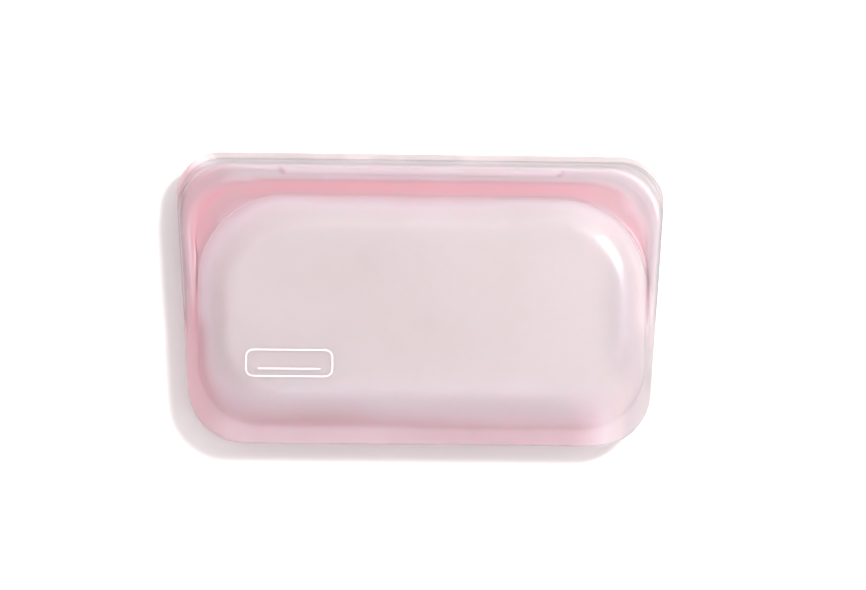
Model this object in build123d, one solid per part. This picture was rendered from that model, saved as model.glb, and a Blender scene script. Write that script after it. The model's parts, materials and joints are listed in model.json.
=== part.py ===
from build123d import *
import math
import os

# A snack-size reusable storage bag of moulded silicone, lying flat on its back wall with its
# press seal closed. Two pillow-shaped walls meet in a rim at mid thickness. The rim is bonded
# along the sides and the base. Across the top, and down the sides as far as the mouth line, it
# is split into a front and a back lip, which a bead and a groove hold together.
#
# Frame: +X across the bag, +Y from the base to the mouth, +Z up. The origin is the centre of
# the bounding box's underside, so the bag stands on the plane Z = 0. Every shape is first made
# about the rim's mid plane, and moved up by half the bag's thickness when it is written.

# Driving dimensions, in millimetres and degrees
BAG_WIDTH = 190.0
BAG_HEIGHT = 114.0
BAG_THICKNESS = 25.0
SIDE_TAPER = 4.0          # each side leans out by this towards the mouth
WALL = 1.4
RIM_HALF = 1.5            # half the thickness of the bonded rim
CORNER_TOP = 17.0         # corner radii of the bag's outline
CORNER_BASE = 22.0

# The pillow, whose sides lean out less than the bag's
PILLOW_HALF_WIDTH = 86.8  # at mid height
PILLOW_TAPER = 1.0
PILLOW_TOP = 17.6         # from the bag's top edge
PILLOW_BASE = 7.0         # from the bag's base edge
PILLOW_CORNER_TOP = 33.5
PILLOW_CORNER_BASE = 25.0
PILLOW_ROUND = 10.8       # radius from the pillow's flank to its flat crown

# The press seal, along a line inside the bag's outline
SEAL_SIDE = 2.8
SEAL_TOP = 7.6
SEAL_CORNER = 20.8
SEAL_FLARE = 0.5          # the seal's corner is less round outside its line, and rounder inside
SEAL_SIDE_SHARE = 0.8     # widths across the seal shrink to this share down the sides
TRACK_HALF = 2.5          # half the track's width
TRACK_HEIGHT = 3.2        # track's outer face above the rim's mid plane
TRACK_ROUND = 0.8
GROOVE_HALF = 1.2
GROOVE_ROOF = 1.0
BEAD_HALF = 0.85
BEAD_TOP = 1.9
BEAD_ROUND = 0.5
MOUTH_GAP = 0.2           # each lip's distance from the mid plane
FRONT_LIP_SHORT = 2.4     # the front lip stops this far short of the back lip's edge
FRONT_LIP_NARROW = 0.5    # and this far at the sides

# The press bar on each track, and the webs that end the seal
BAR_LENGTH = 108.0
BAR_HALF = 1.4
BAR_RISE = 0.6
WEB_LENGTH = 14.0

# Mouth line, about which the front of the mouth lifts, and the soft band that lets it
MOUTH_LINE = 4.0
MOUTH_OPEN = 30.0
FLEX_HALF = 1.5
FLEX_GAP = 0.1

# Write-on mark printed on the front wall
LABEL_X = -51.0
LABEL_Y = -27.0
LABEL_WIDTH = 34.0
LABEL_HEIGHT = 11.0
LABEL_CORNER = 2.8
LABEL_STROKE = 0.9
LABEL_THICK = 0.15
LINE_LENGTH = 24.0
LINE_DROP = 2.2           # the writing line lies this far below the mark's middle

# Worked out from the driving dimensions
MID_Z = BAG_THICKNESS / 2
LEAN = math.tan(math.radians(SIDE_TAPER))
SLANT = 1 / math.cos(math.radians(SIDE_TAPER))
HALF_WIDTH = BAG_WIDTH / 2 - (BAG_HEIGHT / 2 - CORNER_TOP) * LEAN + CORNER_TOP * (SLANT - 1)
FLEX_SLOPE = math.tan(math.radians(MOUTH_OPEN / 2))
FAR = BAG_WIDTH


def rounded_trapezoid(half_width, taper, low, high, corner_low, corner_high):
    """A symmetric trapezoid between two heights. Its half width is taken at Y = 0."""
    lean = math.tan(math.radians(taper))
    half_low = half_width + low * lean
    half_high = half_width + high * lean
    corners = [(-half_low, low), (half_low, low), (half_high, high), (-half_high, high)]
    face = make_face(Polyline(corners, close=True))
    face = fillet(face.vertices().group_by(Axis.Y)[-1], corner_high)
    return fillet(face.vertices().group_by(Axis.Y)[0], corner_low)


def bag_shape(side, top, base, corner_top, corner_base):
    """The bag's outline, drawn in by the given distances."""
    half_width = HALF_WIDTH - side * SLANT
    low = base - BAG_HEIGHT / 2
    high = BAG_HEIGHT / 2 - top
    return rounded_trapezoid(half_width, SIDE_TAPER, low, high, corner_base, corner_top)


def bag_outline():
    return bag_shape(0, 0, 0, CORNER_TOP, CORNER_BASE)


def pillow_outline(inset=0.0):
    return rounded_trapezoid(
        PILLOW_HALF_WIDTH - inset,
        PILLOW_TAPER,
        PILLOW_BASE + inset - BAG_HEIGHT / 2,
        BAG_HEIGHT / 2 - PILLOW_TOP - inset,
        PILLOW_CORNER_BASE - inset,
        PILLOW_CORNER_TOP - inset,
    )


def seal_outline(offset=0.0):
    """The seal's line, moved outwards by the offset."""
    side = SEAL_SIDE - offset * SEAL_SIDE_SHARE
    corner_top = SEAL_CORNER - offset * SEAL_FLARE
    return bag_shape(side, SEAL_TOP - offset, side, corner_top, CORNER_BASE - side)


def layer(face, low, high):
    """A flat sheet of the face between two heights."""
    return Pos(0, 0, low) * extrude(face, high - low)


def side_view_block(points):
    """A block across the whole bag from its (Y, Z) outline."""
    face = make_face(Polyline(points, close=True))
    return extrude(Plane.YZ * face, FAR, both=True)


def behind_mouth_line(distance, slope):
    """Everything on the base's side of a plane that leans back from the mouth line."""
    near = MOUTH_LINE - distance
    return side_view_block(
        [(-FAR, -FAR), (near, -FAR), (near, 0), (near - slope * FAR, FAR), (-FAR, FAR)]
    )


def before_mouth_line(distance, slope):
    """Everything on the mouth's side of a plane that leans away from the mouth line."""
    near = MOUTH_LINE + distance
    return side_view_block([(FAR, -FAR), (near, -FAR), (near, 0), (near + slope * FAR, FAR)])


def pillow_dome(inset):
    """Half a pillow on the rim's mid plane, smaller all round by the inset."""
    dome = layer(pillow_outline(inset), 0, MID_Z - inset)
    return fillet(dome.faces().sort_by(Axis.Z)[-1].edges(), PILLOW_ROUND - inset)


def pillow_shell():
    """The front wall's pillow: a hollow dome on the rim's mid plane."""
    return pillow_dome(0) - pillow_dome(WALL)


def front_pillow_above_gap():
    return pillow_shell() & layer(bag_outline(), MOUTH_GAP, MID_Z)


def shoulder_sheet():
    """The thin sheet between the pillow and the seal's track, on the front half."""
    return layer(seal_outline(-TRACK_HALF) - pillow_outline(), MOUTH_GAP, MOUTH_GAP + WALL)


def track_block(offset):
    """The outer shape of a seal track, on the front half, with its outer edges rounded."""
    block = layer(seal_outline(offset) - seal_outline(-offset), MOUTH_GAP, TRACK_HEIGHT)
    return fillet(block.faces().sort_by(Axis.Z)[-1].edges(), TRACK_ROUND)


def groove_block():
    channel = layer(
        seal_outline(GROOVE_HALF) - seal_outline(-GROOVE_HALF), 0, TRACK_HEIGHT - GROOVE_ROOF
    )
    return track_block(TRACK_HALF) - channel


def lip_sheet(shorter, narrower):
    """A pull lip outside the seal's track, on the front half."""
    edge = bag_shape(narrower, shorter, 0, CORNER_TOP, CORNER_BASE)
    return layer(edge - seal_outline(TRACK_HALF), MOUTH_GAP, MOUTH_GAP + WALL)


def press_bar():
    """The raised bar that a thumb runs along to close the seal, on the front half."""
    y = BAG_HEIGHT / 2 - SEAL_TOP
    length = BAR_LENGTH / 2
    foot = make_face(
        Polyline(
            [
                (-length, y - BAR_HALF),
                (length, y - BAR_HALF),
                (length - BAR_HALF, y + BAR_HALF),
                (BAR_HALF - length, y + BAR_HALF),
            ],
            close=True,
        )
    )
    return layer(foot, TRACK_HEIGHT, TRACK_HEIGHT + BAR_RISE)


def front_of_mouth(shape):
    return shape & before_mouth_line(FLEX_HALF, FLEX_SLOPE)


def back_half(shape):
    """A front-half shape turned into its twin on the back, from the mouth line upwards."""
    return mirror(shape, Plane.XY) & before_mouth_line(-FLEX_HALF, 0)


def front_wall():
    return pillow_shell() & behind_mouth_line(FLEX_HALF, FLEX_SLOPE)


def back_wall():
    return mirror(pillow_shell(), Plane.XY)


def front_flex_band():
    """The soft band of the front that bends when the mouth opens, rim and pillow together."""
    section = front_pillow_above_gap() + shoulder_sheet() + groove_block()
    section += lip_sheet(FRONT_LIP_SHORT, FRONT_LIP_NARROW)
    section &= behind_mouth_line(-FLEX_HALF + FLEX_GAP, -FLEX_SLOPE)
    return section & before_mouth_line(-FLEX_HALF + FLEX_GAP, -FLEX_SLOPE)


def seal_bead():
    """The rib that stands on the back track and enters the groove."""
    rib = layer(seal_outline(BEAD_HALF) - seal_outline(-BEAD_HALF), -MOUTH_GAP, BEAD_TOP)
    rib = fillet(rib.faces().sort_by(Axis.Z)[-1].edges(), BEAD_ROUND)
    return rib & before_mouth_line(FLEX_HALF, FLEX_SLOPE)


def mouth_web(side):
    """The solid end of the seal at one side (-1 or 1), where front and back become one."""
    end = MOUTH_LINE - FLEX_HALF
    ramp = side_view_block(
        [
            (end, -TRACK_HEIGHT),
            (end, TRACK_HEIGHT),
            (end - WEB_LENGTH / 2, TRACK_HEIGHT),
            (end - WEB_LENGTH, RIM_HALF),
            (end - WEB_LENGTH, -RIM_HALF),
            (end - WEB_LENGTH / 2, -TRACK_HEIGHT),
        ]
    )
    band = seal_outline(TRACK_HALF) - seal_outline(-TRACK_HALF)
    half = Pos(side * FAR / 2, 0, 0) * Box(FAR, 2 * FAR, 2 * FAR)
    web = layer(band, -TRACK_HEIGHT, TRACK_HEIGHT) & ramp & half
    return web & behind_mouth_line(FLEX_HALF, FLEX_SLOPE)


def side_and_base_seam():
    """The bonded rim down both sides and along the base."""
    rim = layer(bag_outline() - pillow_outline(), -RIM_HALF, RIM_HALF)
    rim &= behind_mouth_line(FLEX_HALF, FLEX_SLOPE)
    return rim - mouth_web(-1) - mouth_web(1)


def label_print():
    """An empty box with a writing line, printed on the front wall's flat crown."""
    frame = RectangleRounded(LABEL_WIDTH, LABEL_HEIGHT, LABEL_CORNER)
    inner = RectangleRounded(
        LABEL_WIDTH - 2 * LABEL_STROKE,
        LABEL_HEIGHT - 2 * LABEL_STROKE,
        LABEL_CORNER - LABEL_STROKE,
    )
    line = Pos(0, -LINE_DROP) * Rectangle(LINE_LENGTH, LABEL_STROKE)
    mark = Pos(LABEL_X, LABEL_Y) * (frame - inner + line)
    return layer(mark, MID_Z, MID_Z + LABEL_THICK)


def sub_parts():
    """Every sub-part about the rim's mid plane, by node name."""
    return {
        "front_wall": front_wall(),
        "front_flex_band": front_flex_band(),
        "front_mouth_wall": front_of_mouth(front_pillow_above_gap()),
        "front_shoulder": front_of_mouth(shoulder_sheet()),
        "groove_track": front_of_mouth(groove_block()),
        "front_lip": front_of_mouth(lip_sheet(FRONT_LIP_SHORT, FRONT_LIP_NARROW)),
        "front_press_bar": press_bar(),
        "back_wall": back_wall(),
        "back_shoulder": back_half(shoulder_sheet()),
        "bead_track": back_half(track_block(TRACK_HALF)),
        "seal_bead": seal_bead(),
        "back_lip": back_half(lip_sheet(0, 0)),
        "back_press_bar": mirror(press_bar(), Plane.XY),
        "mouth_web_left": mouth_web(-1),
        "mouth_web_right": mouth_web(1),
        "side_and_base_seam": side_and_base_seam(),
        "label_print": label_print(),
    }


def main():
    os.makedirs("parts", exist_ok=True)
    for name, shape in sub_parts().items():
        export_step(Pos(0, 0, MID_Z) * shape, f"parts/{name}.step")
    print(f"outline half width at mid height {HALF_WIDTH:.2f} mm")
    print(f"pouch volume {2 * pillow_dome(WALL).volume / 1000:.0f} ml")


main()
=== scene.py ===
import json
import math

import bpy
import numpy as np
from mathutils import Matrix, Vector
from mathutils.bvhtree import BVHTree


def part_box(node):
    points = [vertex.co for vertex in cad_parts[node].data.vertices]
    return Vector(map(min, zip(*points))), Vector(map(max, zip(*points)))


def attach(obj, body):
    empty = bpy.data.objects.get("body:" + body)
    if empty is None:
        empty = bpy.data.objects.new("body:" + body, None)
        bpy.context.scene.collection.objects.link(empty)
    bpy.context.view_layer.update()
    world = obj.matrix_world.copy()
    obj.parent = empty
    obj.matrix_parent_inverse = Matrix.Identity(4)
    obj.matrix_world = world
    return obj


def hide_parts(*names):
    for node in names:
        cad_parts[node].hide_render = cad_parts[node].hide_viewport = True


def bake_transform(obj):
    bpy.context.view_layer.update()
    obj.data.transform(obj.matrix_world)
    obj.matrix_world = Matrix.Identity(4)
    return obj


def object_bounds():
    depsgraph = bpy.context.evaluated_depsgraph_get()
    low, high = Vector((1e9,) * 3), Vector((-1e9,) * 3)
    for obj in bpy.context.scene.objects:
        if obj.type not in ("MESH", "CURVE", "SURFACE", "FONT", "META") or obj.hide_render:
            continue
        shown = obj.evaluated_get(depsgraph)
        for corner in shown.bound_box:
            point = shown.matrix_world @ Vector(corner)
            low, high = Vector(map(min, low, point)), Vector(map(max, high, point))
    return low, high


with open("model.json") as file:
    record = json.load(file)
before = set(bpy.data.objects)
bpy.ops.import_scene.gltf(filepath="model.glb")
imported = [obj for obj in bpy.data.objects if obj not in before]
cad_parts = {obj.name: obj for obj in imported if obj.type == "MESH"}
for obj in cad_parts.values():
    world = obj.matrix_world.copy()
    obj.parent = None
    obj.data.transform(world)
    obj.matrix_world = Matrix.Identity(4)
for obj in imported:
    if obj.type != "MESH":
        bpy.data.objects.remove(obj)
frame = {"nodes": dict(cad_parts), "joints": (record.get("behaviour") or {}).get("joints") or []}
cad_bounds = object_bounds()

# A reusable storage bag of translucent pink silicone, lying flat with its press seal closed.
# Lengths are in millimetres and are scaled to metres as each mesh is made. Heights of the bag's
# two panels are counted from the rim's mid plane, outwards: up on the front, down on the back.

MM = 0.001

# Sizes read from the frame
HINGE = frame["joints"][0]["pos_m"]
MOUTH_LINE = HINGE[1] / MM
MID_Z = HINGE[2] / MM
BAG_LOW, BAG_HIGH = [corner / MM for corner in cad_bounds]
PILLOW_LOW, PILLOW_HIGH = [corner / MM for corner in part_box("back_wall")]
TRACK_HEIGHT = MID_Z - (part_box("bead_track")[0] / MM).z
FRONT_LIP_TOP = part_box("front_lip")[1].y / MM
LABEL_LOW, LABEL_HIGH = [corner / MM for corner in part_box("label_print")]

# Outlines
SIDE_TAPER = 4.0
PILLOW_TAPER = 1.0
BAG_CORNERS = (22.0, 17.0)         # base and top radii
PILLOW_CORNERS = (25.0, 33.5)
SEAL_SIDE = 2.8
SEAL_TOP = 7.6
SEAL_CORNER = 20.8
SEAL_FLARE = 0.5
SEAL_SIDE_SHARE = 0.8
TRACK_HALF = 2.5
GROOVE_HALF = 1.2
LIP_NARROW = 0.5

# Heights from the rim's mid plane
LIP_GAP = 0.2
BOND_GAP = 0.04
SHEET = 1.4
RIM = 1.5
GROOVE_ROOF = 2.2
LIP_ROUND = 0.65
LIP_OUTER_FLAT = 0.3               # how far inside its rounded edge the lip's flat faces start
LIP_INNER_FLAT = 1.0
VALLEY_ROOM = 6.5                  # the valley is at full depth where the seal is this far off
LEAST_OPEN = 0.2
VALLEY_LIFT = 0.97
VALLEY_RISE = 0.6

# The press bar moulded on the track, and the slant of its ends
BAR_HALF_LENGTH = 54.3
BAR_HALF = 1.3
BAR_EDGE = 0.5
BAR_RISE = 0.5
BAR_END = 0.5
BAR_SLANT = 0.5
BAR_NOTCH = 0.25
BAR_NOTCH_WIDTH = 0.9
# The notches at the bar's ends are also painted pinker, as shade in the recess
BAR_NOTCH_SHADE = 0.45

# The outer face's section, from the pillow outwards. Each row is a distance, a share of the rise
# and a tint. The distance is from the pillow's outline in the first, from the seal in the second.
PILLOW_FOOT = ((0.15, 0.75, 0.42), (0.5, 0.36, 0.5), (1.0, 0.12, 0.62), (1.8, 0.0, 0.8))
# The track's tints are lowest on its inner slope: painted light that lifts the shade on that slope
TRACK_PROFILE = (
    (-4.4, 0.0, 0.95), (-3.9, 0.05, 0.78), (-3.4, 0.18, 0.56), (-2.9, 0.36, 0.38),
    (-2.4, 0.56, 0.27), (-1.9, 0.76, 0.22), (-1.4, 0.91, 0.24), (-0.8, 0.99, 0.32),
    (0.0, 1.0, 0.36), (0.8, 1.0, 0.34), (1.3, 0.98, 0.3), (1.7, 0.92, 0.22),
    (2.05, 0.76, 0.12), (2.4, 0.5, 0.06), (2.8, 0.22, 0.0), (3.2, 0.06, -0.06),
)
FLAT_SHARES = (0.35, 0.7)          # where rings lie between those two, and out to the lip
RIM_FOOT_RISE = 0.3
TRACK_INSIDE_END = -0.5

# The inner face's section over the groove, or between the bead's feet: a distance from the seal
# and a height. The other half mirrors it.
GROOVE_PROFILE = (
    (GROOVE_HALF + 0.25, LIP_GAP),
    (GROOVE_HALF, LIP_GAP + 0.2),
    (GROOVE_HALF - 0.05, GROOVE_ROOF - 0.25),
    (GROOVE_HALF - 0.3, GROOVE_ROOF),
)
BEAD_PROFILE = ((GROOVE_HALF, LIP_GAP), (GROOVE_HALF - 0.6, LIP_GAP))
INNER_LIP_SHARES = (0.2, 0.8)
INNER_FOOT_SHARES = (0.1, 0.5, 0.9)
INNER_FOOT_OUTSET = 0.6

# Where each part of the section lies on the bonded rim: the first ring's share of the way from
# the rim's edge to the pillow, and how much that changes up to the last ring's
VALLEY_ON_RIM = (0.78, -0.1)
TRACK_ON_RIM = (0.66, -0.5)
LIP_ON_RIM = (0.15, -0.06)
INNER_LIP_ON_RIM = (0.05, 0.1)
CHANNEL_ON_RIM = (0.2, 0.3)
INNER_FOOT_ON_RIM = (0.55, 0.37)
RIM_WIDTH = 9.0
EDGE_WIDTH = 8.0

# The pillow
WALL = 1.4
STEEP_WIDTH = 11.5                 # from the pillow's foot to its crown, where the flank is steep
SOFT_WIDTH = 14.0
STEEP_ACROSS = (10.0, 62.0)        # it turns from soft to steep between these x, and these y
STEEP_ALONG = (-48.0, -18.0)
CROWN_RISE = 0.9
CORNER_SHARE = 0.25                # how much of an inset comes off the corners' radii
FOOT_HEIGHT = 2.6
INNER_FOOT_RISE = 0.4
SOFT_FLANK = 2.3                   # how steeply the flank leaves the bonded rim
SOFT_SHARE = 0.3
FLANK_RINGS = 19
UNEVENNESS = 0.16
SETTLE = 0.25

# How deep the pink is: 0 is the crown's, 1 the valley's, and below 0 the thinnest silicone's.
# The tint is partly the silicone's thickness and partly painted light and shade: painted shade on
# the left, at the base and in the valley's creases, painted light and damping greys on the lit
# right.
# A pair is a change of tint and the span of x or y over which it comes in.
PALEST_TINT = -1 / 3
PLAIN_TINT = 0.4
INNER_VALLEY_TINT = 0.9
RIM_TINT = 0.55
# Painted shade on the rim's left, and a grey on its lit right that damps the light
RIM_LEFT = (0.2, (-70.0, -88.0))
RIM_RIGHT = (-0.82, (55.0, 90.0))
RIM_BASE = (-0.07, (10.0, -40.0))
RIM_BASE_SPAN = (-44.0, -52.0)
LIP_TINT = -0.08
# Painted shade on the lip's left, and a grey on its lit right that damps the light
LIP_LEFT = (0.94, (-80.0, -93.0))
LIP_RIGHT = (-0.14, (66.0, 86.0))
# The lip's rounded edge is painted darker and greyer, to damp the light it catches and lets
# through
EDGE_TINT_DROP = 0.24
# The valley's depth is partly thicker silicone and partly painted shade in its crease; it is
# painted paler where it opens out in the corners and lighter down the lit right
CORNER_SPAN = (10.3, 14.0)
CORNER_TINT = 0.25
CORNER_LEFT = (0.15, (0.0, -60.0))
VALLEY_RIGHT = (-0.4, (80.0, 88.0))
# Painted shade on the track's left, the side turned from the light
TRACK_LEFT_SPAN = (-66.0, -88.0)
TRACK_LEFT_INSIDE = 0.7
TRACK_LEFT_OUTSIDE = 0.45
CROWN_TINT = 0.02
# Painted shade towards the crown's base, and a grey on its lit right that damps the light
CROWN_BASE = (0.14, (-28.0, -43.0))
CROWN_RIGHT = (-0.22, (64.0, 80.0))
CROWN_EDGE = 0.06
FLANK_TINT = 0.38
# At the mouth the flank's foot is painted lighter on its lit right, as painted light
FLANK_RIGHT = (-0.16, (70.0, 82.0))

# The flank's shade over the base's left end: its span of x, and where it fades to the left again
SHADE_SPAN = (20.0, -30.0)
SHADE_FADE = (0.7, (-60.0, -80.0))
SHADE_TINT = 0.22
SHADE_REACH = 8

# Degrees up the flank over which its tint turns to the shade, and to the crown's
SHADE_ANGLES = (5, 25)
RIM_ANGLES = (0, 65)
MOUTH_ANGLES = (0, 70)

# The track fades into the bonded rim between these distances from the mouth line
FADE_START = -26.0
FADE_END = 2.0

# How far the front's lip and pillow sit to the right of the back's
LIP_SHIFT = 0.6
PILLOW_SHIFT = 0.9
SHIFT_REACH = 4.0

# Points round each ring: on an arc, on a side, and along the top or base
ARC_POINTS = 30
SIDE_POINTS = 30
LONG_POINTS = 66
BAR_END_STEPS = (0.11, 0.116, 0.122, 0.128, 0.134)      # more points at the press bar's ends


def smoothstep(low, high, value):
    t = np.clip((value - low) / (high - low), 0.0, 1.0)
    return t * t * (3.0 - 2.0 * t)


def change(pair, value):
    """An amount that comes in smoothly over its span."""
    amount, span = pair
    return amount * smoothstep(*span, value)


def along_rim(pair, share):
    start, growth = pair
    return start + growth * share


# ---------------------------------------------------------------- outlines

SIDE_STEPS = np.linspace(0.0, 1.0, SIDE_POINTS + 2)[1:-1]
LONG_STEPS = np.linspace(0.0, 1.0, LONG_POINTS + 2)[1:-1]
LONG_STEPS = np.sort(np.concatenate([LONG_STEPS, BAR_END_STEPS, 1 - np.array(BAR_END_STEPS)]))


def rounded_trapezoid(half_width, taper, low, high, corner_low, corner_high):
    """Points once round a symmetric rounded trapezoid, anticlockwise from its base's right end."""
    lean = math.tan(math.radians(taper))
    slant = 1 / math.cos(math.radians(taper))

    def centre(y, radius):
        return np.array([half_width + y * lean - radius * slant, y])

    flip = np.array([-1.0, 1.0])
    base = centre(low + corner_low, corner_low)
    top = centre(high - corner_high, corner_high)
    arcs = [
        (base, corner_low, -90.0, -taper),
        (top, corner_high, -taper, 90.0),
        (top * flip, corner_high, 90.0, 180.0 + taper),
        (base * flip, corner_low, 180.0 + taper, 270.0),
    ]
    points = []
    for i, (middle, radius, start, end) in enumerate(arcs):
        angles = np.radians(np.linspace(start, end, ARC_POINTS))
        arc = middle + radius * np.stack([np.cos(angles), np.sin(angles)], axis=1)
        following, next_radius, next_start, _ = arcs[(i + 1) % 4]
        a = math.radians(next_start)
        target = following + next_radius * np.array([math.cos(a), math.sin(a)])
        steps = SIDE_STEPS if i % 2 == 0 else LONG_STEPS
        points += [arc, arc[-1] + (target - arc[-1]) * steps[:, None]]
    return np.concatenate(points)


LEAN = math.tan(math.radians(SIDE_TAPER))
SLANT = 1 / math.cos(math.radians(SIDE_TAPER))
HALF_WIDTH = BAG_HIGH.x - (BAG_HIGH.y - BAG_CORNERS[1]) * LEAN + BAG_CORNERS[1] * (SLANT - 1)
PILLOW_HALF = (
    PILLOW_HIGH.x
    - (PILLOW_HIGH.y - PILLOW_CORNERS[1]) * math.tan(math.radians(PILLOW_TAPER))
    + PILLOW_CORNERS[1] * (1 / math.cos(math.radians(PILLOW_TAPER)) - 1)
)


def bag_ring(side, top, base, corner_low, corner_high):
    half = HALF_WIDTH - side * SLANT
    return rounded_trapezoid(
        half, SIDE_TAPER, BAG_LOW.y + base, BAG_HIGH.y - top, corner_low, corner_high
    )


def seal_ring(offset):
    side = SEAL_SIDE - offset * SEAL_SIDE_SHARE
    return bag_ring(
        side, SEAL_TOP - offset, side, BAG_CORNERS[0] - side, SEAL_CORNER - offset * SEAL_FLARE
    )


def pillow_ring(inset):
    """The pillow's outline drawn in. Its corners stay rounder than a true offset's."""
    share = CORNER_SHARE if inset > 0 else 1.0
    return rounded_trapezoid(
        PILLOW_HALF - inset,
        PILLOW_TAPER,
        PILLOW_LOW.y + inset,
        PILLOW_HIGH.y - inset,
        PILLOW_CORNERS[0] - share * inset,
        PILLOW_CORNERS[1] - share * inset,
    )


BAG_RING = bag_ring(0, 0, 0, *BAG_CORNERS)
PILLOW_RING = pillow_ring(0)
MOUTH = smoothstep(MOUTH_LINE + FADE_START, MOUTH_LINE + FADE_END, seal_ring(0)[:, 1])


def rim_tint_at(flat):
    """Painted shade on the rim's left, a grey damping the light on its right, paler at the base.
    """
    x, y = flat[:, 0], flat[:, 1]
    tint = RIM_TINT + change(RIM_LEFT, x) + change(RIM_RIGHT, x)
    return tint + change(RIM_BASE, x) * smoothstep(*RIM_BASE_SPAN, y)


def mixed_ring(rim_share, rim_height, mouth_ring, mouth_height, mouth_tint):
    """A ring that is a share of the way across the bonded rim, and a given ring at the mouth."""
    rim = BAG_RING + (PILLOW_RING - BAG_RING) * rim_share
    rim_tint = rim_tint_at(rim)
    flat = rim + (mouth_ring - rim) * MOUTH[:, None]
    height = rim_height + (mouth_height - rim_height) * MOUTH
    tint = rim_tint + (mouth_tint - rim_tint) * MOUTH
    return np.column_stack([flat, height, tint])


def bar_rise(ring, offset):
    """The press bar's height over the track's top, at a distance outside the seal's line."""
    across = 1 - smoothstep(BAR_HALF - BAR_EDGE, BAR_HALF, abs(offset))
    end = BAR_HALF_LENGTH + BAR_SLANT * offset
    along = 1 - smoothstep(end - BAR_END, end + BAR_END, np.abs(ring[:, 0]))
    return BAR_RISE * across * along * (ring[:, 1] > MOUTH_LINE)


def bar_end_at(ring, offset):
    """Where a small notch closes each end of the press bar: 1 in the notch and 0 away from it."""
    across = 1 - smoothstep(BAR_HALF - BAR_EDGE, BAR_HALF + BAR_EDGE, abs(offset))
    along = (np.abs(ring[:, 0]) - BAR_HALF_LENGTH - BAR_SLANT * offset) / BAR_NOTCH_WIDTH
    return across * np.exp(-along**2) * (ring[:, 1] > MOUTH_LINE)


# ---------------------------------------------------------------- rings of a panel
# Each ring is an array of x, y, height and tint.

def lip_ring(front, inset):
    short = BAG_HIGH.y - FRONT_LIP_TOP if front else 0.0
    narrow = LIP_NARROW if front else 0.0
    ring = bag_ring(narrow + inset, short + inset, inset, *BAG_CORNERS)
    if front:
        ring = ring + np.array([LIP_SHIFT, 0.0])
    return ring


def lip_tint_at(flat):
    """Painted shade on the lip's left, and a grey damping the light on its right."""
    return LIP_TINT + change(LIP_LEFT, flat[:, 0]) + change(LIP_RIGHT, flat[:, 0])


def edge_rings(front):
    """The lip's rounded edge, from its outer face to its inner one."""
    rings = []
    # painted darker, to damp the light on the rounded edge
    lip_tint = lip_tint_at(BAG_RING) - EDGE_TINT_DROP
    rim_middle, rim_half = (RIM + BOND_GAP) / 2, (RIM - BOND_GAP) / 2
    mouth_middle, mouth_half = LIP_GAP + SHEET / 2, SHEET / 2
    for angle in (90, 60, 30, 0, -30, -60, -90):
        a = math.radians(angle)
        inset = LIP_ROUND * (1 - math.cos(a))
        rim_height = rim_middle + rim_half * math.sin(a)
        mouth_height = mouth_middle + mouth_half * math.sin(a)
        lip = lip_ring(front, inset)
        rings.append(mixed_ring(inset / EDGE_WIDTH, rim_height, lip, mouth_height, lip_tint))
    return rings


def distance_to(ring, other):
    """From each point of one ring to the nearest point of another."""
    return np.linalg.norm(ring[:, None, :] - other[None, :, :], axis=2).min(axis=1)


def narrowness(ring, other):
    """The share of its full room that the valley has at each point of one ring, up to another."""
    return np.clip(distance_to(ring, other) / VALLEY_ROOM, LEAST_OPEN, 1.0)


def valley_tint(ring, other):
    """Deep where the valley is narrow, and paler in the corners and down the lit side."""
    x = ring[:, 0]
    # The depth is partly thicker silicone and partly painted shade in the crease; the lit right is
    # painted lighter
    corner = smoothstep(*CORNER_SPAN, distance_to(ring, other))
    return 1.0 - corner * (CORNER_TINT + change(CORNER_LEFT, x)) + change(VALLEY_RIGHT, x)


SEAL_RING = seal_ring(0)
SEAL_OPEN = narrowness(SEAL_RING, PILLOW_RING)
PILLOW_OPEN = narrowness(PILLOW_RING, SEAL_RING)


def near_seal(offset):
    """A ring beside the seal's line, drawn closer to it where the valley is narrow."""
    share = SEAL_OPEN if offset < 0 else np.ones_like(SEAL_OPEN)
    return SEAL_RING + (seal_ring(offset) - SEAL_RING) * share[:, None]


def near_pillow(outset):
    return PILLOW_RING + (pillow_ring(-outset) - PILLOW_RING) * PILLOW_OPEN[:, None]


def track_ring(offset, rise, tint, rim_share, seal_valley, seal_tint):
    """One ring of the track's outer face, with its share of the press bar."""
    flat = near_seal(offset)
    base = seal_valley if offset < 0 else LIP_GAP + SHEET
    tint_here = tint * seal_tint if offset < 0 else tint
    # On the left the track is painted pinker, as shade on the side turned from the light
    if offset < TRACK_HALF:
        deeper = TRACK_LEFT_INSIDE if offset < TRACK_INSIDE_END else TRACK_LEFT_OUTSIDE
        tint_here = tint_here + change((deeper, TRACK_LEFT_SPAN), flat[:, 0])
    ring = mixed_ring(rim_share, RIM, flat, base + (TRACK_HEIGHT - base) * rise, tint_here)
    end = bar_end_at(flat, offset)
    ring[:, 2] += bar_rise(flat, offset) - BAR_NOTCH * end
    # painted shade in the notch at each end of the press bar
    ring[:, 3] += BAR_NOTCH_SHADE * end
    return ring


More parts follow.
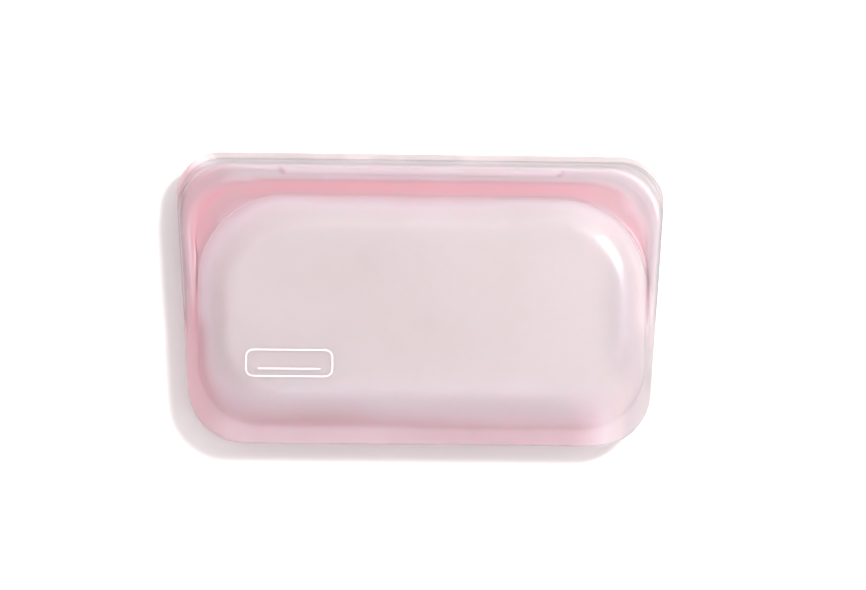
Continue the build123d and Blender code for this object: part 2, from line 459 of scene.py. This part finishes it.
def outer_border_rings(front):
    """The outer face between the pillow and the lip's edge, from the pillow outwards."""
    sheet = LIP_GAP + SHEET
    floor = sheet + VALLEY_RISE
    crest = TRACK_HEIGHT - floor
    seal_valley = floor + VALLEY_LIFT * crest * (1 - SEAL_OPEN)
    pillow_valley = floor + VALLEY_LIFT * crest * (1 - PILLOW_OPEN)
    seal_tint = valley_tint(SEAL_RING, PILLOW_RING)
    pillow_tint = valley_tint(PILLOW_RING, SEAL_RING)
    rings = []
    for outset, rise, tint in PILLOW_FOOT:
        rim_height = RIM + RIM_FOOT_RISE * rise
        height = pillow_valley + rise * PILLOW_OPEN
        flat = near_pillow(outset)
        rim_share = 1 - outset / RIM_WIDTH
        rings.append(mixed_ring(rim_share, rim_height, flat, height, tint * pillow_tint))
    inner_foot = near_pillow(PILLOW_FOOT[-1][0])
    inner_track = near_seal(TRACK_PROFILE[0][0])
    for share in FLAT_SHARES:
        ring = inner_foot + (inner_track - inner_foot) * share
        height = pillow_valley + (seal_valley - pillow_valley) * share
        tint = pillow_tint + (seal_tint - pillow_tint) * share
        rings.append(mixed_ring(along_rim(VALLEY_ON_RIM, share), RIM, ring, height, tint))
    for i, (offset, rise, tint) in enumerate(TRACK_PROFILE):
        rim_share = along_rim(TRACK_ON_RIM, i / (len(TRACK_PROFILE) - 1))
        rings.append(track_ring(offset, rise, tint, rim_share, seal_valley, seal_tint))
    outer_track = near_seal(TRACK_PROFILE[-1][0])
    lip = lip_ring(front, LIP_ROUND + LIP_OUTER_FLAT)
    lip_tint = lip_tint_at(BAG_RING)
    for share in FLAT_SHARES:
        ring = outer_track + (lip - outer_track) * share
        rings.append(mixed_ring(along_rim(LIP_ON_RIM, share), RIM, ring, sheet, lip_tint))
    return rings


def inner_border_rings(front):
    """The inner face between the lip's edge and the pillow, from the edge inwards."""
    rings = []
    lip = lip_ring(front, LIP_ROUND + LIP_INNER_FLAT)
    # the lip's inner face is painted darker too, to damp the light there
    lip_tint = lip_tint_at(BAG_RING) - EDGE_TINT_DROP
    outer = seal_ring(TRACK_HALF)
    for share in INNER_LIP_SHARES:
        ring = lip + (outer - lip) * share
        rim_share = along_rim(INNER_LIP_ON_RIM, share)
        rings.append(mixed_ring(rim_share, BOND_GAP, ring, LIP_GAP, lip_tint))
    half = GROOVE_PROFILE if front else BEAD_PROFILE
    channel = [*half, *((-offset, height) for offset, height in reversed(half))]
    for i, (offset, height) in enumerate(channel):
        rim_share = along_rim(CHANNEL_ON_RIM, i / (len(channel) - 1))
        rings.append(mixed_ring(rim_share, BOND_GAP, seal_ring(offset), height, PLAIN_TINT))
    inner = seal_ring(-TRACK_HALF)
    foot = pillow_ring(-INNER_FOOT_OUTSET)
    for share in INNER_FOOT_SHARES:
        ring = inner + (foot - inner) * share
        rim_share = along_rim(INNER_FOOT_ON_RIM, share)
        rings.append(mixed_ring(rim_share, BOND_GAP, ring, LIP_GAP, INNER_VALLEY_TINT))
    return rings


def crown_share(flat):
    """How far the crown has risen at each point: 0 at the pillow's foot and 1 at its middle."""
    middle = (PILLOW_LOW.y + PILLOW_HIGH.y) / 2
    half = (PILLOW_HIGH.y - PILLOW_LOW.y) / 2
    across = 1 - (flat[:, 0] / PILLOW_HIGH.x) ** 2
    along = 1 - ((flat[:, 1] - middle) / half) ** 2
    return np.clip(across, 0, 1) * np.clip(along, 0, 1)


def crown_tint_at(flat):
    """Painted shade pinks the crown's base end; a grey damps the light on its right side."""
    x, y = flat[:, 0], flat[:, 1]
    tint = CROWN_TINT + change(CROWN_BASE, y) + CROWN_EDGE * (1 - crown_share(flat))
    return tint + change(CROWN_RIGHT, x)


def pillow_rings(wall, crown_rise):
    """The pillow's flank from its foot to its crown, as seen from outside (wall 0) or inside."""
    top = MID_Z - wall
    mouth_foot = FOOT_HEIGHT if wall == 0 else LIP_GAP + INNER_FOOT_RISE
    rim_foot = (RIM if wall == 0 else BOND_GAP) + RIM_FOOT_RISE
    foot = rim_foot + (mouth_foot - rim_foot) * MOUTH
    steepness = smoothstep(*STEEP_ACROSS, PILLOW_RING[:, 0])
    steepness = steepness * smoothstep(*STEEP_ALONG, PILLOW_RING[:, 1])
    width_share = steepness[:, None]
    rings = []
    for angle in np.linspace(0, 90, FLANK_RINGS):
        share = 1 - math.cos(math.radians(angle))
        flat = pillow_ring((SOFT_WIDTH - wall) * share + wall) * (1 - width_share)
        flat = flat + pillow_ring((STEEP_WIDTH - wall) * share + wall) * width_share
        steep = math.sqrt(1 - (1 - share) ** 2)
        gentle = share**3 * (10 - 15 * share + 6 * share**2)
        soft = SOFT_SHARE * (1 - (1 - share) ** SOFT_FLANK) + (1 - SOFT_SHARE) * gentle
        rise = soft + (steep - soft) * steepness
        height = foot + (top - crown_rise - foot) * rise + crown_rise * crown_share(flat)
        x = flat[:, 0]
        crown_tint = crown_tint_at(flat)
        shade = smoothstep(*SHADE_SPAN, x) * (1 - change(SHADE_FADE, x))
        rim_tint = rim_tint_at(flat) + SHADE_TINT * shade * smoothstep(*SHADE_ANGLES, angle)
        rim_blend = smoothstep(*RIM_ANGLES, angle - SHADE_REACH * shade)
        rim_tint = rim_tint + (crown_tint - rim_tint) * rim_blend
        # painted light on the right flank's foot at the mouth
        foot_tint = FLANK_TINT + change(FLANK_RIGHT, x)
        mouth_tint = foot_tint + (crown_tint - foot_tint) * smoothstep(*MOUTH_ANGLES, angle)
        tint = rim_tint + (mouth_tint - rim_tint) * MOUTH
        rings.append(np.column_stack([flat, height, tint]))
    return rings


def crown_patch(ring, top, crown_rise):
    """Fills a ring with a grid of points between its four corners, as rows of points."""
    quarter = ARC_POINTS // 2
    side = ARC_POINTS + SIDE_POINTS
    long = ARC_POINTS + len(LONG_STEPS)
    loop = np.roll(ring[:, :2], -quarter, axis=0)
    loop = np.concatenate([loop, loop[:1]])
    right = loop[: side + 1]
    high = loop[side : side + long + 1]
    left = loop[side + long : 2 * side + long + 1][::-1]
    low = loop[2 * side + long :][::-1]
    high = high[::-1]
    u = np.linspace(0, 1, long + 1)[None, :, None]
    v = np.linspace(0, 1, side + 1)[:, None, None]
    ruled = (1 - v) * low[None] + v * high[None] + (1 - u) * left[:, None] + u * right[:, None]
    corners = (1 - u) * (1 - v) * low[0] + u * (1 - v) * low[-1]
    corners = corners + (1 - u) * v * high[0] + u * v * high[-1]
    flat = (ruled - corners).reshape(-1, 2)
    height = top - crown_rise + crown_rise * crown_share(flat)
    tint = crown_tint_at(flat)
    return np.column_stack([flat, height, tint]).reshape(side + 1, long + 1, 4)


def unevenness(points):
    """Slow hills and hollows of soft silicone, up to about a quarter of a millimetre."""
    x, y = points[:, 0], points[:, 1]
    broad = np.sin(x / 17.0 + 0.6) * np.cos(y / 13.0 - 0.4)
    return UNEVENNESS * (broad + 0.6 * np.sin(x / 9.0 - y / 14.0 + 1.9))


def patch_faces(ring_first, patch_first, rows, columns):
    """Quads of a crown patch whose border points are those of a ring."""
    quarter = ARC_POINTS // 2
    count = 2 * (rows + columns)

    def index(row, column):
        if 0 < row < rows and 0 < column < columns:
            return patch_first + (row - 1) * (columns - 1) + column - 1
        if column == columns:
            step = row
        elif row == rows:
            step = rows + columns - column
        elif column == 0:
            step = rows + columns + rows - row
        else:
            step = 2 * rows + columns + column
        return ring_first + (step + quarter) % count

    return [
        (index(r, c), index(r, c + 1), index(r + 1, c + 1), index(r + 1, c))
        for r in range(rows)
        for c in range(columns)
    ]


def link_mesh(name, points, faces):
    """A smooth-shaded object from points in millimetres."""
    mesh = bpy.data.meshes.new(name)
    mesh.from_pydata((points * MM).tolist(), [], faces)
    mesh.validate()
    mesh.shade_smooth()
    obj = bpy.data.objects.new(name, mesh)
    bpy.context.collection.objects.link(obj)
    return obj


def panel_mesh(name, front):
    """One panel as a closed shell: pillow, shoulder, track and lip, outside and inside."""
    crown_rise = CROWN_RISE if front else 0.0
    outside = list(reversed(pillow_rings(0.0, crown_rise)))
    inside = pillow_rings(WALL, crown_rise)
    border = outer_border_rings(front) + edge_rings(front) + inner_border_rings(front)
    rings = outside + border + inside
    if front:
        for ring in outside + inside:
            ring[:, 0] += PILLOW_SHIFT
        for ring in border:
            apart = distance_to(ring[:, :2], PILLOW_RING)
            ring[:, 0] += PILLOW_SHIFT * (1 - smoothstep(0.0, SHIFT_REACH, apart))
    count = len(MOUTH)
    faces = []
    for r in range(len(rings) - 1):
        for i in range(count):
            j = (i + 1) % count
            a, b = r * count, (r + 1) * count
            faces.append((a + i, b + i, b + j, a + j))
    points = list(rings)
    first = len(rings) * count
    for ring_index, wall in ((0, 0.0), (len(rings) - 1, WALL)):
        patch = crown_patch(rings[ring_index], MID_Z - wall, crown_rise)
        rows, columns = patch.shape[0] - 1, patch.shape[1] - 1
        quads = patch_faces(ring_index * count, first, rows, columns)
        faces += quads if ring_index == 0 else [tuple(reversed(quad)) for quad in quads]
        middle = patch[1:-1, 1:-1].reshape(-1, 4)
        points.append(middle)
        first += len(middle)
    points = np.concatenate(points)
    if front:
        weight = smoothstep(FOOT_HEIGHT, MID_Z - WALL, points[:, 2])
        points[:, 2] += (unevenness(points) - SETTLE) * weight
    points[:, 2] = MID_Z + (1.0 if front else -1.0) * points[:, 2]
    obj = link_mesh(name, points[:, :3], faces)
    # the tint holds painted light and shade as well as the depth of pink
    attribute = obj.data.attributes.new("tint", "FLOAT", "POINT")
    attribute.data.foreach_set("value", points[:, 3].astype(np.float32))
    if not front:
        obj.data.flip_normals()
    return obj


# ---------------------------------------------------------------- the printed mark

MARK_STROKE = 0.8
MARK_LIFT = 0.05
MARK_CORNER = 2.8
MARK_LINE_LENGTH = 24.0
MARK_LINE_DROP = 2.2
MARK_CORNER_POINTS = 10
MARK_LINE_POINTS = 25
ABOVE_BAG = 0.1                    # metres


def stroke_mesh(name, paths, surface):
    """Thin printed strokes on a surface. Each path is its x, y points and whether it closes."""
    tree = BVHTree.FromPolygons(
        [tuple(vertex.co) for vertex in surface.data.vertices],
        [tuple(face.vertices) for face in surface.data.polygons],
    )
    points, faces = [], []
    for path, closed in paths:
        path = np.array(path)
        if closed:
            along = np.roll(path, -1, axis=0) - np.roll(path, 1, axis=0)
        else:
            along = np.gradient(path, axis=0)
        along = along / np.linalg.norm(along, axis=1)[:, None]
        across = np.column_stack([-along[:, 1], along[:, 0]]) * MARK_STROKE / 2
        first = len(points)
        for spot, reach in zip(path, across):
            for side, lift in ((-1, MARK_LIFT), (1, MARK_LIFT), (1, -MARK_LIFT), (-1, -MARK_LIFT)):
                x, y = spot + side * reach
                hit = tree.ray_cast(Vector((x * MM, y * MM, ABOVE_BAG)), Vector((0, 0, -1)))[0]
                points.append((x, y, hit.z / MM + lift))
        steps = len(path) if closed else len(path) - 1
        for k in range(steps):
            a, b = first + 4 * k, first + 4 * ((k + 1) % len(path))
            for c in range(4):
                d = (c + 1) % 4
                faces.append((a + c, a + d, b + d, b + c))
        if not closed:
            faces.append(tuple(first + c for c in (3, 2, 1, 0)))
            faces.append(tuple(first + 4 * (len(path) - 1) + c for c in (0, 1, 2, 3)))
    obj = link_mesh(name, np.array(points), faces)
    obj.data.shade_flat()
    return obj


def mark_paths():
    """A rounded box to write in, with one line in it."""
    half_stroke = MARK_STROKE / 2
    x0, x1 = LABEL_LOW.x + half_stroke, LABEL_HIGH.x - half_stroke
    y0, y1 = LABEL_LOW.y + half_stroke, LABEL_HIGH.y - half_stroke
    r = MARK_CORNER
    box = []
    corners = ((x1 - r, y0 + r), (x1 - r, y1 - r), (x0 + r, y1 - r), (x0 + r, y0 + r))
    for (cx, cy), start in zip(corners, (-90, 0, 90, 180)):
        for angle in np.radians(np.linspace(start, start + 90, MARK_CORNER_POINTS)):
            box.append((cx + r * math.cos(angle), cy + r * math.sin(angle)))
    dense = []
    for k, (x, y) in enumerate(box):
        nx, ny = box[(k + 1) % len(box)]
        steps = max(1, round(math.hypot(nx - x, ny - y)))
        dense += [(x + (nx - x) * i / steps, y + (ny - y) * i / steps) for i in range(steps)]
    middle_x, line_y = (x0 + x1) / 2, (y0 + y1) / 2 - MARK_LINE_DROP
    half = MARK_LINE_LENGTH / 2
    line = [(x, line_y) for x in np.linspace(middle_x - half, middle_x + half, MARK_LINE_POINTS)]
    return [(dense, True), (line, False)]


# ---------------------------------------------------------------- materials

def new_material(name):
    material = bpy.data.materials.new(name)
    material.use_nodes = True
    return material, material.node_tree.nodes, material.node_tree.links


def silicone_material(name, tinted):
    """Milky translucent silicone: scattering, some haze-blurred transmission and a satin gloss."""
    material, nodes, links = new_material(name)
    shader = nodes["Principled BSDF"]
    shader.inputs["Roughness"].default_value = 0.45
    shader.inputs["IOR"].default_value = 1.41
    shader.inputs["Alpha"].default_value = 0.8
    shader.inputs["Transmission Weight"].default_value = 0.45
    shader.inputs["Subsurface Weight"].default_value = 1.0
    shader.inputs["Subsurface Radius"].default_value = (1.0, 0.7, 0.7)
    shader.inputs["Subsurface Scale"].default_value = 0.008
    shader.inputs["Coat Weight"].default_value = 0.28
    shader.inputs["Coat Roughness"].default_value = 0.15
    shader.inputs["Coat IOR"].default_value = 1.41
    shader.inputs["Sheen Weight"].default_value = 0.1
    shader.inputs["Sheen Roughness"].default_value = 0.4
    shader.inputs["Sheen Tint"].default_value = (0.88, 0.82, 1.0, 1.0)
    place = nodes.new("ShaderNodeTexCoord")
    cloud = nodes.new("ShaderNodeTexNoise")
    cloud.inputs["Scale"].default_value = 38.0
    cloud.inputs["Detail"].default_value = 3.0
    links.new(place.outputs["Object"], cloud.inputs["Vector"])
    spread = nodes.new("ShaderNodeMapRange")
    spread.inputs["From Min"].default_value = 0.3
    spread.inputs["From Max"].default_value = 0.7
    spread.inputs["To Min"].default_value = -0.05
    spread.inputs["To Max"].default_value = 0.05
    links.new(cloud.outputs["Fac"], spread.inputs["Value"])
    total = nodes.new("ShaderNodeMath")
    total.operation = "ADD"
    total.inputs[1].default_value = PLAIN_TINT
    links.new(spread.outputs["Result"], total.inputs[0])
    if tinted:
        # The tint attribute brings painted light and shade as well as the depth of pink
        tint = nodes.new("ShaderNodeAttribute")
        tint.attribute_name = "tint"
        links.new(tint.outputs["Fac"], total.inputs[1])
    ramp = nodes.new("ShaderNodeValToRGB")
    stops = ramp.color_ramp.elements
    # Besides the silicone's pink, the stops hold painted light: the pale lavender at 0.39, passed
    # by every
    # flank and the track's inner slope, is a painted light band; the dark greys from 0 to 0.15
    # damp the light on the lip's edges and the lit right side
    stops[0].color = (0.47, 0.435, 0.44, 1)
    stops[1].color = (0.82, 0.45, 0.51, 1)
    stops.new(0.07).color = (0.69, 0.61, 0.625, 1)
    stops.new(0.15).color = (0.70, 0.60, 0.645, 1)
    stops.new(0.25).color = (0.84, 0.70, 0.71, 1)
    stops.new(0.39).color = (0.91, 0.75, 0.81, 1)
    stops.new(0.50).color = (0.85, 0.65, 0.71, 1)
    stops.new(0.70).color = (0.70, 0.49, 0.53, 1)
    place_tint = nodes.new("ShaderNodeMapRange")
    place_tint.inputs["From Min"].default_value = PALEST_TINT
    links.new(total.outputs["Value"], place_tint.inputs["Value"])
    links.new(place_tint.outputs["Result"], ramp.inputs["Fac"])
    links.new(ramp.outputs["Color"], shader.inputs["Base Color"])
    grain = nodes.new("ShaderNodeTexNoise")
    grain.inputs["Scale"].default_value = 1800.0
    grain.inputs["Detail"].default_value = 2.0
    links.new(place.outputs["Object"], grain.inputs["Vector"])
    bump = nodes.new("ShaderNodeBump")
    bump.inputs["Strength"].default_value = 0.12
    bump.inputs["Distance"].default_value = 0.00005
    links.new(grain.outputs["Fac"], bump.inputs["Height"])
    links.new(bump.outputs["Normal"], shader.inputs["Normal"])
    return material


def print_material():
    material, nodes, links = new_material("white_print")
    shader = nodes["Principled BSDF"]
    shader.inputs["Roughness"].default_value = 0.5
    shader.inputs["Alpha"].default_value = 0.9
    speckle = nodes.new("ShaderNodeTexNoise")
    speckle.inputs["Scale"].default_value = 900.0
    ramp = nodes.new("ShaderNodeValToRGB")
    ramp.color_ramp.elements[0].color = (0.72, 0.65, 0.67, 1)
    ramp.color_ramp.elements[1].color = (0.80, 0.73, 0.75, 1)
    links.new(speckle.outputs["Fac"], ramp.inputs["Fac"])
    links.new(ramp.outputs["Color"], shader.inputs["Base Color"])
    return material


# ---------------------------------------------------------------- camera, light and floor

def look_at(obj, place, aim, up, roll_deg=0.0):
    back = (Vector(place) - Vector(aim)).normalized()
    right = Vector(up).cross(back).normalized()
    turn = Matrix((right, back.cross(right), back)).transposed().to_4x4()
    roll = Matrix.Rotation(math.radians(roll_deg), 4, "Z")
    obj.matrix_world = Matrix.Translation(place) @ turn @ roll


# Places and sizes of the camera, lights and floor, in metres except where they say otherwise
CAMERA_DISTANCE = 1.8
CAMERA_TILT = (3.0, 8.0)           # degrees towards the left and towards the base
CAMERA_AIM = (4.9, 1.6)            # mm
CAMERA_ROLL = 0.2
FRAME_WIDTH = 336.441 * MM         # at the aim
SENSOR_WIDTH = 36.0
FLOOR_HALF = 3.0
FLOOR_HEIGHT = -0.00015
WORLD_STRENGTH = 0.88
KEY_POLAR = 33.0
KEY_AZIMUTH = 37.0
KEY_DISTANCE = 1.4
KEY_SIZE = (0.28, 0.4)
KEY_ENERGY = 20.0
STRIP_PLACE = (1.25, 0.19, 0.6)
STRIP_SIZE = (0.1, 0.04)
STRIP_ENERGY = 0.03
GLINT_PLACE = (1.04, -0.74, 0.574)
GLINT_SIZE = (0.22, 0.22)
GLINT_ENERGY = 1.8


def add_camera():
    data = bpy.data.cameras.new("camera")
    camera = bpy.data.objects.new("camera", data)
    bpy.context.collection.objects.link(camera)
    tilt_x, tilt_y = [math.radians(tilt) for tilt in CAMERA_TILT]
    aim = Vector((*CAMERA_AIM, MID_Z)) * MM
    back = Vector((-math.sin(tilt_x), -math.sin(tilt_y), 1.0)).normalized()
    look_at(camera, aim + back * CAMERA_DISTANCE, aim, up=(0, 1, 0), roll_deg=CAMERA_ROLL)
    data.sensor_width = SENSOR_WIDTH
    data.lens = SENSOR_WIDTH * CAMERA_DISTANCE / FRAME_WIDTH
    bpy.context.scene.camera = camera


def add_area(name, place, size, energy):
    """A rectangular light that faces the bag."""
    data = bpy.data.lights.new(name, "AREA")
    data.shape = "RECTANGLE"
    data.size, data.size_y = size
    data.energy = energy
    light = bpy.data.objects.new(name, data)
    bpy.context.collection.objects.link(light)
    look_at(light, place, (0, 0, 0), up=(0, 0, 1))


def add_world():
    world = bpy.data.worlds.new("studio")
    bpy.context.scene.world = world
    world.use_nodes = True
    background = world.node_tree.nodes["Background"]
    background.inputs["Color"].default_value = (1.0, 0.95, 0.95, 1.0)
    background.inputs["Strength"].default_value = WORLD_STRENGTH


def add_floor():
    mesh = bpy.data.meshes.new("floor")
    corners = [(x * FLOOR_HALF, y * FLOOR_HALF) for x, y in ((-1, -1), (1, -1), (1, 1), (-1, 1))]
    mesh.from_pydata([(x, y, FLOOR_HEIGHT) for x, y in corners], [], [(0, 1, 2, 3)])
    floor = bpy.data.objects.new("floor", mesh)
    bpy.context.collection.objects.link(floor)
    material, nodes, _ = new_material("floor")
    shader = nodes["Principled BSDF"]
    shader.inputs["Base Color"].default_value = (0.95, 0.95, 0.95, 1)
    shader.inputs["Roughness"].default_value = 0.9
    shader.inputs["Specular IOR Level"].default_value = 0.1
    mesh.materials.append(material)


# ---------------------------------------------------------------- assembly

add_camera()
add_world()
add_floor()
polar, azimuth = math.radians(KEY_POLAR), math.radians(KEY_AZIMUTH)
key_place = KEY_DISTANCE * Vector(
    (math.sin(polar) * math.cos(azimuth), math.sin(polar) * math.sin(azimuth), math.cos(polar))
)
add_area("key", key_place, KEY_SIZE, KEY_ENERGY)
add_area("side_strip", STRIP_PLACE, STRIP_SIZE, STRIP_ENERGY)
add_area("glint", GLINT_PLACE, GLINT_SIZE, GLINT_ENERGY)
bpy.context.scene.view_settings.view_transform = "Standard"

silicone = silicone_material("silicone", tinted=True)
plain_silicone = silicone_material("silicone_plain", tinted=False)

front_panel = panel_mesh("front_panel", True)
back_panel = panel_mesh("back_panel", False)
for panel in (front_panel, back_panel):
    panel.data.materials.append(silicone)

write_on_mark = stroke_mesh("write_on_mark", mark_paths(), front_panel)
write_on_mark.data.materials.append(print_material())

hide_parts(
    "front_wall", "front_flex_band", "front_mouth_wall", "front_shoulder", "groove_track",
    "front_lip", "front_press_bar",
)
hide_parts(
    "back_wall", "back_shoulder", "bead_track", "back_lip", "side_and_base_seam",
    "mouth_web_left", "mouth_web_right", "back_press_bar",
)
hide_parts("label_print")
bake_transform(front_panel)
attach(back_panel, "pouch")
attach(write_on_mark, "pouch")

seal_bead = frame["nodes"]["seal_bead"]
seal_bead.data.materials.clear()
seal_bead.data.materials.append(plain_silicone)
